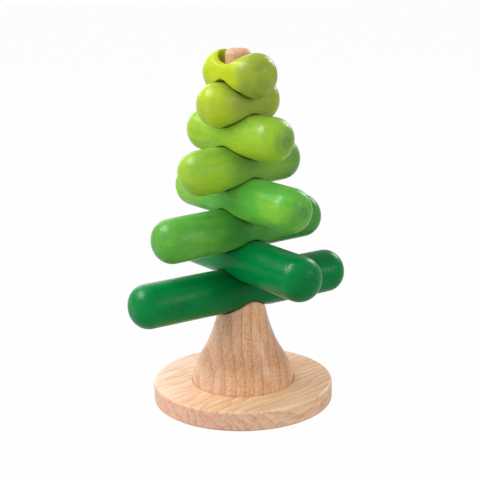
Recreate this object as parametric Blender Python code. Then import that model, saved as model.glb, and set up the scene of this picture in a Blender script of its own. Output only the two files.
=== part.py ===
"""Stacking tree: eight crossed branches that lift off a rod, on a flared trunk and a round base disc."""

import math

import bmesh
import bpy
from mathutils import Matrix

# Driving sizes in metres, and turns in degrees. +Z is up, along the rod, and the base rests on z = 0.
BASE_DIAMETER = 0.1236
BASE_THICKNESS = 0.0139
BASE_EDGE_ROUNDING = 0.0018
RECESS_DEPTH = 0.0040
RECESS_CLEARANCE = 0.0004

TRUNK_FOOT_DIAMETER = 0.0706
TRUNK_NECK_DIAMETER = 0.0302
TRUNK_FLARE_HEIGHT = 0.0627
TRUNK_RISE = 0.0549
TRUNK_RIM_ROUNDING = 0.0014
TRUNK_RIM_BULGE_SHARE = 0.2
# How much of the flare is left at equal steps from the foot up to where it would run out.
TRUNK_FLARE_SHARES = (1.0, 0.829, 0.488, 0.239, 0.072, 0.0)

ROD_DIAMETER = 0.0168
ROD_TOP_FLAT_DIAMETER = 0.0068
ROD_FOOT_CHAMFER = 0.0010
ROD_RISE_OVER_TOP_BRANCH = 0.0011
ROD_SEAT_DEPTH = 0.0350

BRANCH_DIAMETER = 0.0300
BRANCH_END_FLAT_DIAMETER = 0.0084
BRANCH_END_FLAT_CREASE = 8.0
NOTCH_DEPTH = 0.00455
TOP_CROSSING_SADDLE_DEPTH = 0.0057
TOP_CROSSING_NOTCH_DEPTH = 0.0070
OPEN_SADDLE_DEPTH = 0.0046
NOTCH_BLEND = 0.0015
NOTCH_RUN_OUT_RADIUS = 0.0100
FULL_SECTION_REACH = 0.0090
# The section round the waist is a superellipse of this power, and a circle has the power 2.
FULL_SECTION_POWER = 2.8
SEAT_GAP = 0.0004

# Each branch's length, its turn about the rod and how far its middle sits off the rod's axis along
# the branch, from the top branch down. The saddles and bores are centred on the rod.
BRANCH_LENGTHS = (0.0560, 0.0590, 0.0862, 0.0956, 0.1262, 0.1324, 0.1480, 0.1667)
BRANCH_TURNS = (-50.0, 38.0, -46.0, 40.5, -52.0, 36.0, -54.0, 32.0)
BRANCH_OFFSETS = (0.0014, -0.0003, 0.0003, 0.0004, 0.0011, -0.0017, 0.0020, -0.0013)

BORE_SIDE_CLEARANCE = 0.0008
BORE_END_CLEARANCE = 0.0016
TOP_BORE_SIDE_CLEARANCE = 0.0019
TOP_BORE_END_CLEARANCE = 0.0062

SCREW_DIAMETER = 0.0040
SCREW_HEAD_DIAMETER = 0.0080
SCREW_HEAD_SINK = 0.0006
SCREW_HEAD_RIM = 0.0004
SCREW_LENGTH = 0.0300
SCREW_TIP_LENGTH = 0.0040
SCREW_TIP_SHARE = 0.2
SCREW_SPACING = 0.0360
SCREW_SLOT_WIDTH = 0.0009
SCREW_SLOT_SPAN = 0.0042
SCREW_SLOT_DEPTH = 0.0012

# The gap left round glued and screwed pieces, so that no two solids share a surface.
FIT_GAP = 0.0003

SECTION_POINTS = 24
NOTCH_STEPS = 10
ROUNDING_STEPS = 4
BORE_POINTS = 24
DISC_SIDES = 60
TRUNK_SIDES = 48
ROD_SIDES = 32
SCREW_SIDES = 20
FLARE_STEPS = 12
CROWN_STEPS = 4

SHARP_EDGE_ANGLE = math.radians(40)
QUARTER_TURN = math.pi / 2
FULL_TURN = 2 * math.pi

BRANCH_COUNT = len(BRANCH_LENGTHS)
BRANCH_RADIUS = BRANCH_DIAMETER / 2
BRANCH_END_TURN = math.pi / 2 - math.radians(BRANCH_END_FLAT_CREASE)
BRANCH_END_ROUNDING = (BRANCH_DIAMETER - BRANCH_END_FLAT_DIAMETER) / 2 / (1 - math.cos(BRANCH_END_TURN))
ROD_RADIUS = ROD_DIAMETER / 2
ROD_TOP_ROUNDING = (ROD_DIAMETER - ROD_TOP_FLAT_DIAMETER) / 2
CROWN_HEIGHT = BASE_THICKNESS + TRUNK_RISE

WOOD_COLOR = (0.62, 0.42, 0.24, 1.0)
ROD_COLOR = (0.66, 0.42, 0.28, 1.0)
STEEL_COLOR = (0.55, 0.55, 0.56, 1.0)
BRANCH_COLORS = (
    (0.56, 0.70, 0.03, 1.0),
    (0.38, 0.52, 0.03, 1.0),
    (0.32, 0.58, 0.03, 1.0),
    (0.21, 0.50, 0.03, 1.0),
    (0.13, 0.44, 0.04, 1.0),
    (0.07, 0.32, 0.04, 1.0),
    (0.01, 0.21, 0.05, 1.0),
    (0.01, 0.13, 0.03, 1.0),
)


def clear_scene():
    """Remove every object, so that the part is alone."""
    for item in list(bpy.data.objects):
        bpy.data.objects.remove(item, do_unlink=True)


def make_material(name, color, roughness, metallic=0.0):
    """Return a Principled material."""
    material = bpy.data.materials.new(name)
    material.use_nodes = True
    shader = material.node_tree.nodes["Principled BSDF"]
    shader.inputs["Base Color"].default_value = color
    shader.inputs["Roughness"].default_value = roughness
    shader.inputs["Metallic"].default_value = metallic
    material.diffuse_color = color
    return material


def add_object(name, mesh_data, material=None):
    """Turn a bmesh into a smooth object with sharp corners and link it."""
    bmesh.ops.recalc_face_normals(mesh_data, faces=mesh_data.faces)
    mesh = bpy.data.meshes.new(name)
    mesh_data.to_mesh(mesh)
    mesh_data.free()
    mesh.shade_smooth()
    mesh.set_sharp_from_angle(angle=SHARP_EDGE_ANGLE)
    if material is not None:
        mesh.materials.append(material)
    item = bpy.data.objects.new(name, mesh)
    bpy.context.scene.collection.objects.link(item)
    return item


def cut_with(item, cutter):
    """Subtract the cutter from the item and keep the cutter out of the render."""
    cutter.hide_render = True
    cutter.display_type = "WIRE"
    boolean = item.modifiers.new(cutter.name, "BOOLEAN")
    boolean.operation = "DIFFERENCE"
    boolean.solver = "EXACT"
    boolean.object = cutter


def skin_rings(mesh_data, rings):
    """Join closed rings of vertices into a tube and cap both ends."""
    count = len(rings[0])
    for lower, upper in zip(rings, rings[1:]):
        for index in range(count):
            after = (index + 1) % count
            mesh_data.faces.new((lower[index], lower[after], upper[after], upper[index]))
    mesh_data.faces.new(rings[0][::-1])
    mesh_data.faces.new(rings[-1])


def turned(name, profile, sides, material=None):
    """Spin a profile of (radius, height) points about Z. Its two ends are closed by flat caps."""
    mesh_data = bmesh.new()
    rings = []
    for radius, height in profile:
        ring = []
        for index in range(sides):
            angle = FULL_TURN * index / sides
            place = (radius * math.cos(angle), radius * math.sin(angle), height)
            ring.append(mesh_data.verts.new(place))
        rings.append(ring)
    skin_rings(mesh_data, rings)
    return add_object(name, mesh_data, material)


def rounded_corner(radius, height, rounding, from_turn, to_turn):
    """Return profile points on an arc about (radius, height)."""
    points = []
    for step in range(ROUNDING_STEPS + 1):
        angle = from_turn + (to_turn - from_turn) * step / ROUNDING_STEPS
        points.append((radius + rounding * math.cos(angle), height + rounding * math.sin(angle)))
    return points


def saddle_drop(distance, depth, reach):
    """Return how far a notch of this depth has opened at a distance from its middle."""
    share = min(abs(distance) / reach, 1.0)
    beyond = max(abs(distance) - reach, 0.0)
    return depth * 0.5 * (1 - math.cos(math.pi * share)) + beyond**2 / (2 * NOTCH_RUN_OUT_RADIUS)


def smooth_min(first, second, blend):
    """Return the lower of two heights, blended where they meet."""
    share = max(0.0, min(1.0, 0.5 + 0.5 * (second - first) / blend))
    return second * (1 - share) + first * share - blend * share * (1 - share)


def crossing_depths(crossing):
    """Return the depths of the lower branch's saddle and the upper one's notch. Crossing 0 is the top one."""
    if crossing == 0:
        return TOP_CROSSING_SADDLE_DEPTH, TOP_CROSSING_NOTCH_DEPTH
    return NOTCH_DEPTH, NOTCH_DEPTH


def branch_heights():
    """Return each branch's axis height, from the top branch down."""
    heights = [CROWN_HEIGHT + SEAT_GAP + BRANCH_RADIUS - NOTCH_DEPTH]
    for crossing in reversed(range(BRANCH_COUNT - 1)):
        # The shallower of the two cuts is the one that carries.
        rest = 2 * (BRANCH_RADIUS - min(crossing_depths(crossing)))
        heights.insert(0, heights[0] + rest + SEAT_GAP)
    return heights


def crossing_turn(crossing):
    """Return a crossing's turn, halfway between the upper branch and the lower branch's normal."""
    upper = BRANCH_TURNS[crossing]
    lower = BRANCH_TURNS[crossing + 1]
    square = 90.0 if lower < upper else -90.0
    return (upper + lower + square) / 2


def saddles_of(index):
    """Return the (depth, turn from the branch's axis) of a branch's top and bottom saddles."""
    own_turn = BRANCH_TURNS[index]
    top = (OPEN_SADDLE_DEPTH, 0.0)
    bottom = (NOTCH_DEPTH, 0.0)
    if index > 0:
        # Its upper neighbour runs across, so the shared saddle is a quarter turn off this branch's axis.
        turn = math.radians(crossing_turn(index - 1) - own_turn)
        top = (crossing_depths(index - 1)[0], turn - math.copysign(QUARTER_TURN, turn))
    if index < BRANCH_COUNT - 1:
        turn = math.radians(crossing_turn(index) - own_turn)
        bottom = (crossing_depths(index)[1], turn)
    return top, bottom


def saddle_height(along, across, saddle):
    """Return the height that a saddle leaves over the branch's axis at one place in plan."""
    depth, turn = saddle
    turned_along = along * math.cos(turn) + across * math.sin(turn)
    turned_across = across * math.cos(turn) - along * math.sin(turn)
    opened = saddle_drop(turned_along, depth, BRANCH_RADIUS)
    closed = saddle_drop(turned_across, depth, BRANCH_RADIUS)
    return BRANCH_RADIUS - depth + opened - closed


def half_stations(reach):
    """Return (distance from the rod's axis, section radius) out to the end of a branch at this reach."""
    straight = reach - BRANCH_END_ROUNDING * math.sin(BRANCH_END_TURN)
    notch = min(BRANCH_RADIUS, straight)
    half = []
    for step in range(1, NOTCH_STEPS // 2 + 1):
        half.append((notch * 2 * step / NOTCH_STEPS, BRANCH_RADIUS))
    for beyond in (BRANCH_RADIUS + FULL_SECTION_REACH / 2, BRANCH_RADIUS + FULL_SECTION_REACH):
        if notch < beyond < straight - BRANCH_END_ROUNDING / 4:
            half.append((beyond, BRANCH_RADIUS))
    flat_radius = BRANCH_RADIUS - BRANCH_END_ROUNDING
    first_step = 0 if straight > notch else 1
    for step in range(first_step, ROUNDING_STEPS + 1):
        angle = BRANCH_END_TURN * step / ROUNDING_STEPS
        place = straight + BRANCH_END_ROUNDING * math.sin(angle)
        half.append((place, flat_radius + BRANCH_END_ROUNDING * math.cos(angle)))
    return half


def branch_stations(index):
    """Return (place from the rod's axis, section radius) from one end of a branch to the other."""
    half_length = BRANCH_LENGTHS[index] / 2
    back = half_stations(half_length - BRANCH_OFFSETS[index])
    front = half_stations(half_length + BRANCH_OFFSETS[index])
    return [(-place, radius) for place, radius in reversed(back)] + [(0.0, BRANCH_RADIUS)] + front


def branch_section(along, radius, top, bottom):
    """Return the (along, across, height) points of a branch's section, measured from the rod's axis."""
    reach = min(1.0, abs(along) / (BRANCH_RADIUS + FULL_SECTION_REACH))
    fullness = 0.5 * (1 + math.cos(math.pi * reach))
    exponent = 2 / (2 + (FULL_SECTION_POWER - 2) * fullness)
    points = []
    for index in range(SECTION_POINTS):
        angle = FULL_TURN * index / SECTION_POINTS
        across = radius * math.copysign(abs(math.cos(angle)) ** exponent, math.cos(angle))
        rise = radius * abs(math.sin(angle)) ** exponent
        if index % (SECTION_POINTS // 2):
            left = saddle_height(along, across, top if math.sin(angle) > 0 else bottom)
            rise = min(rise, smooth_min(rise, left, NOTCH_BLEND))
        else:
            rise = 0.0
        points.append((along, across, math.copysign(rise, math.sin(angle))))
    return points


def bore_outline(index):
    """Return the plan points of a branch's oblong bore, longest along the branch."""
    side_clearance, end_clearance = BORE_SIDE_CLEARANCE, BORE_END_CLEARANCE
    if index == 0:
        side_clearance, end_clearance = TOP_BORE_SIDE_CLEARANCE, TOP_BORE_END_CLEARANCE
    half_width = ROD_RADIUS + side_clearance
    straight = end_clearance - side_clearance
    points = []
    for step in range(BORE_POINTS):
        angle = FULL_TURN * (step + 0.5) / BORE_POINTS
        along = math.copysign(straight, math.cos(angle)) + half_width * math.cos(angle)
        points.append((along, half_width * math.sin(angle)))
    return points


def make_branch(index, height):
    """Build one branch, with saddles above and below and the bore through its waist."""
    name = f"branch_{index + 1}"
    top, bottom = saddles_of(index)
    mesh_data = bmesh.new()
    rings = []
    for along, radius in branch_stations(index):
        section = branch_section(along, radius, top, bottom)
        rings.append([mesh_data.verts.new(point) for point in section])
    skin_rings(mesh_data, rings)
    branch = add_object(name, mesh_data, make_material(f"{name}_stain", BRANCH_COLORS[index], 0.35))
    turn = Matrix.Rotation(math.radians(BRANCH_TURNS[index]), 4, "Z")
    branch.matrix_world = Matrix.Translation((0.0, 0.0, height)) @ turn

    mesh_data = bmesh.new()
    rings = []
    for level in (-BRANCH_DIAMETER, BRANCH_DIAMETER):
        rings.append([mesh_data.verts.new((along, across, level)) for along, across in bore_outline(index)])
    skin_rings(mesh_data, rings)
    bore = add_object(f"{name}_bore", mesh_data)
    bore.matrix_world = branch.matrix_world
    cut_with(branch, bore)


def flare_share(place):
    """Return the flare left at a place between the foot (0) and the shoulder (1), on a smooth curve."""
    shares = TRUNK_FLARE_SHARES
    last = len(shares) - 1
    start = min(int(place * last), last - 1)
    part = place * last - start
    before = shares[max(start - 1, 0)]
    first = shares[start]
    second = shares[start + 1]
    after = shares[min(start + 2, last)]
    slope_in = (second - before) / 2
    slope_out = (after - first) / 2
    cube = 2 * (first - second) + slope_in + slope_out
    square = 3 * (second - first) - 2 * slope_in - slope_out
    return first + slope_in * part + square * part**2 + cube * part**3


def flare_radius(height):
    """Return the trunk's radius at a height over the disc's top."""
    neck_radius = TRUNK_NECK_DIAMETER / 2
    flare = TRUNK_FOOT_DIAMETER / 2 - neck_radius
    return neck_radius + flare * flare_share(min(height / TRUNK_FLARE_HEIGHT, 1.0))


def crown_height(radius, angle):
    """Return the height of the trunk's saddle-shaped crown, which follows the lowest branch's underside."""
    turn = angle - math.radians(BRANCH_TURNS[-1])
    opened = saddle_drop(radius * math.cos(turn), NOTCH_DEPTH, BRANCH_RADIUS)
    closed = saddle_drop(radius * math.sin(turn), NOTCH_DEPTH, BRANCH_RADIUS)
    return CROWN_HEIGHT - opened + closed


def trunk_profile(angle, foot_height, bore_radius, bore_floor):
    """Return the trunk's profile at one angle, from its foot over the crown and down the bore."""
    rim_radius = flare_radius(TRUNK_RISE)
    for _ in range(3):
        rim_radius = flare_radius(crown_height(rim_radius, angle) - BASE_THICKNESS)
    flare_top = crown_height(rim_radius, angle) - BASE_THICKNESS - TRUNK_RIM_ROUNDING
    profile = [(0.0, foot_height), (TRUNK_FOOT_DIAMETER / 2, foot_height)]
    for step in range(FLARE_STEPS + 1):
        height = flare_top * step / FLARE_STEPS
        profile.append((flare_radius(height), BASE_THICKNESS + height))
    crown_radius = rim_radius - TRUNK_RIM_ROUNDING
    bulge = TRUNK_RIM_ROUNDING * TRUNK_RIM_BULGE_SHARE
    side_radius, side_height = profile[-1]
    corner_height = (side_height + crown_height(crown_radius, angle)) / 2 + bulge
    profile.append(((side_radius + crown_radius) / 2 + bulge, corner_height))
    for step in range(CROWN_STEPS + 1):
        radius = crown_radius + (bore_radius - crown_radius) * step / CROWN_STEPS
        profile.append((radius, crown_height(radius, angle)))
    return profile + [(bore_radius, bore_floor), (0.0, bore_floor)]


def closed_turned(name, profiles, material=None):
    """Skin one profile per angle, each of which starts and ends on the axis."""
    sides = len(profiles)
    mesh_data = bmesh.new()
    bottom = mesh_data.verts.new((0.0, 0.0, profiles[0][0][1]))
    top = mesh_data.verts.new((0.0, 0.0, profiles[0][-1][1]))
    lines = []
    for index, profile in enumerate(profiles):
        cosine = math.cos(FULL_TURN * index / sides)
        sine = math.sin(FULL_TURN * index / sides)
        points = [(radius * cosine, radius * sine, height) for radius, height in profile[1:-1]]
        lines.append([mesh_data.verts.new(point) for point in points])
    for line, after in zip(lines, lines[1:] + lines[:1]):
        mesh_data.faces.new((bottom, after[0], line[0]))
        mesh_data.faces.new((top, line[-1], after[-1]))
        for index in range(len(line) - 1):
            mesh_data.faces.new((line[index], after[index], after[index + 1], line[index + 1]))
    return add_object(name, mesh_data, material)


def screw_profile(grown, length):
    """Return a countersunk screw's profile, head down at z = 0, grown outward by a clearance."""
    head_radius = SCREW_HEAD_DIAMETER / 2 + grown
    shank_radius = SCREW_DIAMETER / 2 + grown
    cone_top = SCREW_HEAD_RIM + (SCREW_HEAD_DIAMETER - SCREW_DIAMETER) / 2
    return [
        (head_radius, 0.0),
        (head_radius, SCREW_HEAD_RIM),
        (shank_radius, cone_top),
        (shank_radius, length - SCREW_TIP_LENGTH),
        (shank_radius * SCREW_TIP_SHARE, length),
    ]


def make_screw(name, place, material):
    """Build a countersunk screw with a crossed slot in its head."""
    screw = turned(name, screw_profile(0.0, SCREW_LENGTH), SCREW_SIDES, material)
    screw.location = (place, 0.0, SCREW_HEAD_SINK)
    for label, turn in (("slot_a", math.pi / 4), ("slot_b", -math.pi / 4)):
        mesh_data = bmesh.new()
        bmesh.ops.create_cube(mesh_data, size=1.0)
        size = (SCREW_SLOT_SPAN, SCREW_SLOT_WIDTH, 2 * SCREW_SLOT_DEPTH)
        bmesh.ops.scale(mesh_data, verts=mesh_data.verts, vec=size)
        slot = add_object(f"{name}_{label}", mesh_data)
        slot.matrix_world = Matrix.Translation(screw.location) @ Matrix.Rotation(turn, 4, "Z")
        cut_with(screw, slot)


def cut_screw_hole(item, name, place, start, length):
    """Cut one screw's clearance out of an item, opened down past the underside of the disc."""
    profile = screw_profile(FIT_GAP, length)
    profile[0] = (profile[0][0], start)
    hole = turned(name, profile, SCREW_SIDES)
    hole.location = (place, 0.0, SCREW_HEAD_SINK)
    cut_with(item, hole)


def make_base(material):
    """Build the base disc, with the trunk's recess in its top."""
    radius = BASE_DIAMETER / 2
    recess_radius = TRUNK_FOOT_DIAMETER / 2 + RECESS_CLEARANCE
    recess_floor = BASE_THICKNESS - RECESS_DEPTH
    inner = radius - BASE_EDGE_ROUNDING
    profile = [(0.0, 0.0)]
    profile += rounded_corner(inner, BASE_EDGE_ROUNDING, BASE_EDGE_ROUNDING, -QUARTER_TURN, 0.0)
    upper = BASE_THICKNESS - BASE_EDGE_ROUNDING
    profile += rounded_corner(inner, upper, BASE_EDGE_ROUNDING, 0.0, QUARTER_TURN)
    profile += [(recess_radius, BASE_THICKNESS), (recess_radius, recess_floor), (0.0, recess_floor)]
    return closed_turned("base_disc", [profile] * DISC_SIDES, material)


def make_trunk(material):
    """Build the flared trunk, with the rod's blind bore in its crown."""
    foot_height = BASE_THICKNESS - RECESS_DEPTH + FIT_GAP
    bore_floor = CROWN_HEIGHT - ROD_SEAT_DEPTH - FIT_GAP
    profiles = []
    for index in range(TRUNK_SIDES):
        angle = FULL_TURN * index / TRUNK_SIDES
        profiles.append(trunk_profile(angle, foot_height, ROD_RADIUS + FIT_GAP, bore_floor))
    return closed_turned("trunk", profiles, material)


def make_rod(top, material):
    """Build the rod from its seat in the trunk to its rounded top."""
    foot = CROWN_HEIGHT - ROD_SEAT_DEPTH
    profile = [
        (0.0, foot),
        (ROD_RADIUS - ROD_FOOT_CHAMFER, foot),
        (ROD_RADIUS, foot + ROD_FOOT_CHAMFER),
    ]
    corner = ROD_RADIUS - ROD_TOP_ROUNDING
    profile += rounded_corner(corner, top - ROD_TOP_ROUNDING, ROD_TOP_ROUNDING, 0.0, QUARTER_TURN)
    profile.append((0.0, top))
    return closed_turned("rod", [profile] * ROD_SIDES, material)


def build():
    """Build every piece of the tree."""
    clear_scene()
    base = make_base(make_material("base_wood", WOOD_COLOR, 0.5))
    trunk = make_trunk(make_material("trunk_wood", WOOD_COLOR, 0.5))
    steel = make_material("screw_steel", STEEL_COLOR, 0.35, 1.0)
    for side, place in (("left", -SCREW_SPACING / 2), ("right", SCREW_SPACING / 2)):
        make_screw(f"screw_{side}", place, steel)
        cut_screw_hole(base, f"base_hole_{side}", place, -2 * SCREW_HEAD_SINK, 2 * SCREW_LENGTH)
        cut_screw_hole(trunk, f"trunk_hole_{side}", place, -2 * SCREW_HEAD_SINK, SCREW_LENGTH + FIT_GAP)
    heights = branch_heights()
    rod_top = heights[0] + BRANCH_RADIUS + ROD_RISE_OVER_TOP_BRANCH
    make_rod(rod_top, make_material("rod_wood", ROD_COLOR, 0.5))
    for index, height in enumerate(heights):
        make_branch(index, height)


if __name__ == "__main__":
    build()
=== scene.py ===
"""Dress the wooden stacking tree: stained branches on a rod, a trunk and a round base disc."""

import logging
import math
from collections.abc import Mapping, Sequence
from dataclasses import dataclass
from enum import Enum

import bmesh
import bpy
import numpy as np
from mathutils import Matrix, Vector


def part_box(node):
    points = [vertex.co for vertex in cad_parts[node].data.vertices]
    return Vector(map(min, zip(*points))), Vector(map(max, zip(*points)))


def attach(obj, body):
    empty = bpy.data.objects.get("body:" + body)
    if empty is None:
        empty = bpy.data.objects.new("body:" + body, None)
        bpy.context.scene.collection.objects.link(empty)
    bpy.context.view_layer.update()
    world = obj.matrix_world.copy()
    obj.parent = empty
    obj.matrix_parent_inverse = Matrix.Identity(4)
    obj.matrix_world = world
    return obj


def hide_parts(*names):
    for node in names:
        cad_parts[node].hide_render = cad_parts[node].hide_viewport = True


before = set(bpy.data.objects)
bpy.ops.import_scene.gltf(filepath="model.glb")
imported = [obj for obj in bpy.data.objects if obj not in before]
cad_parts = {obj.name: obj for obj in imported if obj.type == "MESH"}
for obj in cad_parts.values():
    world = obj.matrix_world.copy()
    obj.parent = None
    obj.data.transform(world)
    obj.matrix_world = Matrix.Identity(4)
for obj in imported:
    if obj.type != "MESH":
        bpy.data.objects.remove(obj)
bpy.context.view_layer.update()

LOG = logging.getLogger("stacking_tree")
FULL_TURN = 2 * math.pi
QUARTER_TURN = math.pi / 2
RIGHT_ANGLE = 90.0
MM = 0.001
WELD_DISTANCE = 0.002 * MM
PHOTO_PIXELS = 480
SENSOR_WIDTH = 36.0
NOISE_MEAN = 0.5
SEED_STEPS = (3.1, 1.7, 2.3)
WHITE = (1.0, 1.0, 1.0, 1.0)

BRANCH_RADIUS = 15 * MM
NOTCH_DEPTH = 4.55 * MM
NOTCH_RUN_OUT = 10 * MM

Color = tuple[float, float, float, float]
Span = tuple[float, float]
Point = tuple[float, float]


def tone(red: float, green: float, blue: float) -> Color:
    """Turn a colour as seen on a screen, 0 to 255, into Blender's linear values.

    Args:
        red: Red, 0 to 255.
        green: Green, 0 to 255.
        blue: Blue, 0 to 255.

    Returns:
        The linear colour with full alpha.
    """
    shares = []
    for value in (red, green, blue):
        share = value / 255
        shares.append(share / 12.92 if share <= 0.04045 else ((share + 0.055) / 1.055) ** 2.4)
    return (shares[0], shares[1], shares[2], 1.0)


class ShaderValue:
    """A socket's output, with operators that add Math nodes."""

    def __init__(self, recipe: "Recipe", socket: bpy.types.NodeSocket) -> None:
        """Keep the socket and the recipe that it belongs to."""
        self.recipe = recipe
        self.socket = socket

    def _math(self, operation: str, first: object, second: object = 0.0) -> "ShaderValue":
        """Add a Math node of this operation and return its result."""
        node = self.recipe.node("ShaderNodeMath", {"operation": operation}, {0: first, 1: second})
        return ShaderValue(self.recipe, node.outputs[0])

    def __add__(self, other: object) -> "ShaderValue":
        """Return self + other."""
        return self._math("ADD", self, other)

    __radd__ = __add__

    def __sub__(self, other: object) -> "ShaderValue":
        """Return self - other."""
        return self._math("SUBTRACT", self, other)

    def __rsub__(self, other: object) -> "ShaderValue":
        """Return other - self."""
        return self._math("SUBTRACT", other, self)

    def __mul__(self, other: object) -> "ShaderValue":
        """Return self * other."""
        return self._math("MULTIPLY", self, other)

    __rmul__ = __mul__

    def __truediv__(self, other: object) -> "ShaderValue":
        """Return self / other."""
        return self._math("DIVIDE", self, other)

    def __rtruediv__(self, other: object) -> "ShaderValue":
        """Return other / self."""
        return self._math("DIVIDE", other, self)

    def __pow__(self, other: object) -> "ShaderValue":
        """Return self to the power of other."""
        return self._math("POWER", self, other)

    def __rpow__(self, other: object) -> "ShaderValue":
        """Return other to the power of self."""
        return self._math("POWER", other, self)

    def fraction(self) -> "ShaderValue":
        """Return the part after the decimal point."""
        return self._math("FRACT", self)

    def size(self) -> "ShaderValue":
        """Return the value without its sign."""
        return self._math("ABSOLUTE", self)

    def above(self, low: float, high: float) -> "ShaderValue":
        """Return a smooth step from 0 at low to 1 at high.

        Args:
            low: Where the step starts.
            high: Where it is full.

        Returns:
            The step's value.
        """
        settings = {"interpolation_type": "SMOOTHSTEP"}
        inputs = {"Value": self, "From Min": low, "From Max": high}
        node = self.recipe.node("ShaderNodeMapRange", settings, inputs)
        return ShaderValue(self.recipe, node.outputs["Result"])


@dataclass(frozen=True)
class Figure:
    """A noise that shows as a pattern in the wood, drawn out along the grain.

    Attributes:
        pitch: Its size across the grain.
        length: Its size along the grain.
        detail: How many finer layers it has.
        roughness: How strong the finer layers are.
    """

    pitch: float
    length: float
    detail: float
    roughness: float = 0.6


class Recipe:
    """A node tree under construction, of a material or of the world."""

    def __init__(self, tree: bpy.types.NodeTree) -> None:
        """Clear the tree and keep it."""
        self.tree = tree
        self.tree.nodes.clear()

    def node(
        self,
        kind: str,
        settings: Mapping[str, object] | None = None,
        inputs: Mapping[str | int, object] | None = None,
    ) -> bpy.types.Node:
        """Add one node.

        Args:
            kind: The node's type.
            settings: Its own settings, such as its operation.
            inputs: A number, colour, vector or link for each named or numbered socket.

        Returns:
            The node.
        """
        node = self.tree.nodes.new(kind)
        for name, value in (settings or {}).items():
            setattr(node, name, value)
        for key, value in (inputs or {}).items():
            if isinstance(value, ShaderValue):
                self.tree.links.new(value.socket, node.inputs[key])
            elif isinstance(value, bpy.types.NodeSocket):
                self.tree.links.new(value, node.inputs[key])
            else:
                node.inputs[key].default_value = value
        return node

    def value(self, node: bpy.types.Node, output: str | int = 0) -> ShaderValue:
        """Return one output of a node as a value for expressions."""
        return ShaderValue(self, node.outputs[output])

    def blend(self, factor: object, first: object, second: object) -> bpy.types.NodeSocket:
        """Mix two colours.

        Args:
            factor: How much of the second, 0 to 1.
            first: A colour or a link.
            second: A colour or a link.

        Returns:
            The mixed colour's socket.
        """
        settings = {"data_type": "RGBA"}
        node = self.node("ShaderNodeMix", settings, {0: factor, 6: first, 7: second})
        return node.outputs[2]

    def placed(
        self, scale: Sequence[float], shift: Sequence[float] = (0.0, 0.0, 0.0)
    ) -> bpy.types.NodeSocket:
        """Return the piece's own coordinates, scaled and shifted.

        Args:
            scale: How many pattern units fit in a metre, along X, Y and Z.
            shift: A move of the pattern, in pattern units.

        Returns:
            The coordinates' socket.
        """
        coordinates = self.node("ShaderNodeTexCoord").outputs["Object"]
        settings = {"vector_type": "POINT"}
        inputs = {"Vector": coordinates, "Location": tuple(shift), "Scale": tuple(scale)}
        return self.node("ShaderNodeMapping", settings, inputs).outputs["Vector"]

    def noise(self, vector: bpy.types.NodeSocket, figure: Figure) -> ShaderValue:
        """Return a figure's noise, about 0.5.

        Args:
            vector: Coordinates in the figure's own units.
            figure: The figure, whose detail and roughness count here.

        Returns:
            The noise's value.
        """
        inputs = {
            "Vector": vector,
            "Scale": 1.0,
            "Detail": figure.detail,
            "Roughness": figure.roughness,
        }
        return self.value(self.node("ShaderNodeTexNoise", {}, inputs), "Fac")

    def relief(self, height: ShaderValue, depth: float, strength: float) -> bpy.types.NodeSocket:
        """Return the normals of a fine relief.

        Args:
            height: Its height, 0 to 1.
            depth: How deep it is in metres.
            strength: How strongly it shows.

        Returns:
            The normals' socket.
        """
        inputs = {"Strength": strength, "Distance": depth, "Height": height}
        return self.node("ShaderNodeBump", {}, inputs).outputs["Normal"]

    def surface(self, inputs: Mapping[str, object]) -> None:
        """Make a surface with these inputs the tree's result."""
        shader = self.node("ShaderNodeBsdfPrincipled", {}, inputs)
        self.node("ShaderNodeOutputMaterial", {}, {"Surface": shader.outputs["BSDF"]})


def new_material(name: str) -> tuple[bpy.types.Material, Recipe]:
    """Make an empty material.

    Args:
        name: Its name.

    Returns:
        The material and the recipe of its nodes.
    """
    material = bpy.data.materials.new(name)
    material.use_nodes = True
    return material, Recipe(material.node_tree)


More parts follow.
